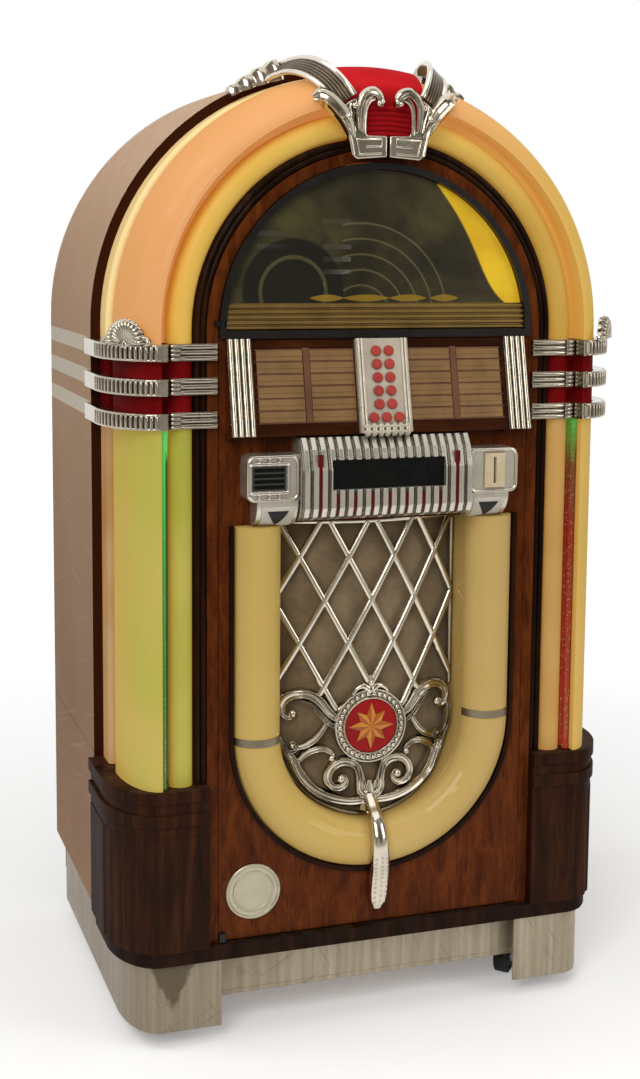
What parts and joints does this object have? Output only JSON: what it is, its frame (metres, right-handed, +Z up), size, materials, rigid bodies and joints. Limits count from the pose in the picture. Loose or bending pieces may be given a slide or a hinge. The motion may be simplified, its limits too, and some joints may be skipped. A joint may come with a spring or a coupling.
{
  "type": "cd jukebox",
  "caption": "Arch-top jukebox with lit plastic columns, a hinged front door with title rack, keypad, coin console and U-shaped grille, and a disc changer behind dome glass.",
  "frame": {"origin": "on the floor, under the middle of the bounding box", "axes": "+X to the right as one faces the front, +Y to the back, +Z up"},
  "size_m": [0.86, 0.64, 1.5556],
  "materials": {
    "cabinet_shell": "painted taupe brown",
    "cabinet_floor": "bare plywood",
    "back_panel": "dark hardboard",
    "panel_screws": "plain",
    "front_frame": "lacquered mahogany veneer",
    "tube_channel": "white painted",
    "dark_mouldings": "dark lacquer",
    "plinth": "worn silver",
    "column_bases": "dark lacquer",
    "edge_plastics": "lit cream",
    "wide_plastics": "lit peach and green",
    "inner_plastics": "lit yellow",
    "bubble_tubes": "clear, lit green",
    "red_lenses": "dark red, see-through",
    "chrome_bands": "polished, worn",
    "crown_castings": "polished, worn",
    "caster_plates": "zinc plated",
    "column_lamps": "frosted",
    "changer_deck": "black anodised",
    "amplifier": "black anodised",
    "hinge_pins": "blackened",
    "door_panel": "lacquered mahogany veneer",
    "dome_trim": "black",
    "dome_glass": "printed olive",
    "dome_sill": "dull bronze",
    "title_rack": "brown with tan cards",
    "rack_pilasters": "polished",
    "keypad_plate": "satin",
    "coin_console": "polished, worn",
    "console_inserts": "black, with a cream coin plate",
    "grille_cloth": "woven beige",
    "grille_casting": "polished, worn",
    "medallion": "red",
    "grille_moulding": "dark lacquer",
    "grille_tubes": "lit cream",
    "woofer": "black",
    "button_01": "red",
    "button_02": "red",
    "button_03": "red",
    "button_04": "red",
    "button_05": "red",
    "button_06": "red",
    "button_07": "red",
    "button_08": "red",
    "button_09": "red",
    "button_10": "red",
    "button_11": "red",
    "button_12": "red",
    "button_13": "red",
    "caster_fork_left": "zinc plated",
    "caster_fork_right": "zinc plated",
    "wheel_front_left": "matte",
    "wheel_front_right": "matte",
    "wheel_rear_left": "matte",
    "wheel_rear_right": "matte",
    "colour_cylinder_left": "tinted film",
    "colour_cylinder_right": "tinted film",
    "disc_magazine": "silvery discs on a plastic carrier",
    "player_spindle": "dark",
    "transfer_arm": "satin"
  },
  "bodies": {
    "cabinet": {"cabinet_shell": "cabinet_shell", "cabinet_floor": "cabinet_floor", "back_panel": "back_panel", "panel_screws": "panel_screws", "front_frame": "front_frame", "tube_channel": "tube_channel", "dark_mouldings": "dark_mouldings", "plinth": "plinth", "column_bases": "column_bases", "edge_plastics": "edge_plastics", "wide_plastics": "wide_plastics", "inner_plastics": "inner_plastics", "bubble_tubes": "bubble_tubes", "red_lenses": "red_lenses", "chrome_bands": "chrome_bands", "crown_castings": "crown_castings", "caster_plates": "caster_plates", "column_lamps": "column_lamps", "changer_deck": "changer_deck", "amplifier": "amplifier", "hinge_pins": "hinge_pins"},
    "door": {"door_panel": "door_panel", "dome_trim": "dome_trim", "dome_glass": "dome_glass", "dome_sill": "dome_sill", "title_rack": "title_rack", "rack_pilasters": "rack_pilasters", "keypad_plate": "keypad_plate", "coin_console": "coin_console", "console_inserts": "console_inserts", "grille_cloth": "grille_cloth", "grille_casting": "grille_casting", "medallion": "medallion", "grille_moulding": "grille_moulding", "grille_tubes": "grille_tubes", "woofer": "woofer"},
    "button_01": {"button_01": "button_01"},
    "button_02": {"button_02": "button_02"},
    "button_03": {"button_03": "button_03"},
    "button_04": {"button_04": "button_04"},
    "button_05": {"button_05": "button_05"},
    "button_06": {"button_06": "button_06"},
    "button_07": {"button_07": "button_07"},
    "button_08": {"button_08": "button_08"},
    "button_09": {"button_09": "button_09"},
    "button_10": {"button_10": "button_10"},
    "button_11": {"button_11": "button_11"},
    "button_12": {"button_12": "button_12"},
    "button_13": {"button_13": "button_13"},
    "caster_fork_left": {"caster_fork_left": "caster_fork_left"},
    "caster_fork_right": {"caster_fork_right": "caster_fork_right"},
    "wheel_front_left": {"wheel_front_left": "wheel_front_left"},
    "wheel_front_right": {"wheel_front_right": "wheel_front_right"},
    "wheel_rear_left": {"wheel_rear_left": "wheel_rear_left"},
    "wheel_rear_right": {"wheel_rear_right": "wheel_rear_right"},
    "colour_cylinder_left": {"colour_cylinder_left": "colour_cylinder_left"},
    "colour_cylinder_right": {"colour_cylinder_right": "colour_cylinder_right"},
    "disc_magazine": {"disc_magazine": "disc_magazine"},
    "player_spindle": {"player_spindle": "player_spindle"},
    "transfer_arm": {"transfer_arm": "transfer_arm"}
  },
  "joints": [
    {"name": "door_hinge", "type": "hinge", "parent": "cabinet", "child": "door", "pos_m": [-0.25425, -0.265, 0.7], "axis": [0, 0, -1], "range_deg": [0, 80]},
    {"name": "button_01_press", "type": "slide", "parent": "door", "child": "button_01", "axis": [0, 0.9744, -0.225], "range_m": [0, 0.0025], "stiffness_N_per_m": 400},
    {"name": "button_02_press", "type": "slide", "parent": "door", "child": "button_02", "axis": [0, 0.9744, -0.225], "range_m": [0, 0.0025], "stiffness_N_per_m": 400},
    {"name": "button_03_press", "type": "slide", "parent": "door", "child": "button_03", "axis": [0, 0.9744, -0.225], "range_m": [0, 0.0025], "stiffness_N_per_m": 400},
    {"name": "button_04_press", "type": "slide", "parent": "door", "child": "button_04", "axis": [0, 0.9744, -0.225], "range_m": [0, 0.0025], "stiffness_N_per_m": 400},
    {"name": "button_05_press", "type": "slide", "parent": "door", "child": "button_05", "axis": [0, 0.9744, -0.225], "range_m": [0, 0.0025], "stiffness_N_per_m": 400},
    {"name": "button_06_press", "type": "slide", "parent": "door", "child": "button_06", "axis": [0, 0.9744, -0.225], "range_m": [0, 0.0025], "stiffness_N_per_m": 400},
    {"name": "button_07_press", "type": "slide", "parent": "door", "child": "button_07", "axis": [0, 0.9744, -0.225], "range_m": [0, 0.0025], "stiffness_N_per_m": 400},
    {"name": "button_08_press", "type": "slide", "parent": "door", "child": "button_08", "axis": [0, 0.9744, -0.225], "range_m": [0, 0.0025], "stiffness_N_per_m": 400},
    {"name": "button_09_press", "type": "slide", "parent": "door", "child": "button_09", "axis": [0, 0.9744, -0.225], "range_m": [0, 0.0025], "stiffness_N_per_m": 400},
    {"name": "button_10_press", "type": "slide", "parent": "door", "child": "button_10", "axis": [0, 0.9744, -0.225], "range_m": [0, 0.0025], "stiffness_N_per_m": 400},
    {"name": "button_11_press", "type": "slide", "parent": "door", "child": "button_11", "axis": [0, 0.9744, -0.225], "range_m": [0, 0.0025], "stiffness_N_per_m": 400},
    {"name": "button_12_press", "type": "slide", "parent": "door", "child": "button_12", "axis": [0, 0.9744, -0.225], "range_m": [0, 0.0025], "stiffness_N_per_m": 400},
    {"name": "button_13_press", "type": "slide", "parent": "door", "child": "button_13", "axis": [0, 0.9744, -0.225], "range_m": [0, 0.0025], "stiffness_N_per_m": 400},
    {"name": "left_swivel", "type": "hinge", "parent": "cabinet", "child": "caster_fork_left", "pos_m": [-0.296, -0.161, 0.08], "axis": [0, 0, 1], "continuous": true},
    {"name": "right_swivel", "type": "hinge", "parent": "cabinet", "child": "caster_fork_right", "pos_m": [0.296, -0.161, 0.08], "axis": [0, 0, 1], "continuous": true},
    {"name": "front_left_roll", "type": "hinge", "parent": "caster_fork_left", "child": "wheel_front_left", "pos_m": [-0.28327, -0.17373, 0.03], "axis": [0.7071, 0.7071, 0], "continuous": true},
    {"name": "front_right_roll", "type": "hinge", "parent": "caster_fork_right", "child": "wheel_front_right", "pos_m": [0.28327, -0.17373, 0.03], "axis": [0.7071, -0.7071, 0], "continuous": true},
    {"name": "rear_left_roll", "type": "hinge", "parent": "cabinet", "child": "wheel_rear_left", "pos_m": [-0.296, 0.234, 0.03], "axis": [1, 0, 0], "continuous": true},
    {"name": "rear_right_roll", "type": "hinge", "parent": "cabinet", "child": "wheel_rear_right", "pos_m": [0.296, 0.234, 0.03], "axis": [1, 0, 0], "continuous": true},
    {"name": "left_colour_turn", "type": "hinge", "parent": "cabinet", "child": "colour_cylinder_left", "pos_m": [-0.3323, -0.168, 0.7], "axis": [0, 0, 1], "continuous": true},
    {"name": "right_colour_turn", "type": "hinge", "parent": "cabinet", "child": "colour_cylinder_right", "pos_m": [0.3323, -0.168, 0.7], "axis": [0, 0, 1], "continuous": true},
    {"name": "magazine_turn", "type": "hinge", "parent": "cabinet", "child": "disc_magazine", "pos_m": [-0.11, 0.15, 1.15], "axis": [0, 0, 1], "continuous": true},
    {"name": "spindle_turn", "type": "hinge", "parent": "cabinet", "child": "player_spindle", "pos_m": [0.15, 0.15, 1.2], "axis": [0, 0, 1], "continuous": true},
    {"name": "arm_swing", "type": "hinge", "parent": "cabinet", "child": "transfer_arm", "pos_m": [0.04, 0.15, 1.28], "axis": [0, 0, 1], "range_deg": [0, 180]}
  ]
}
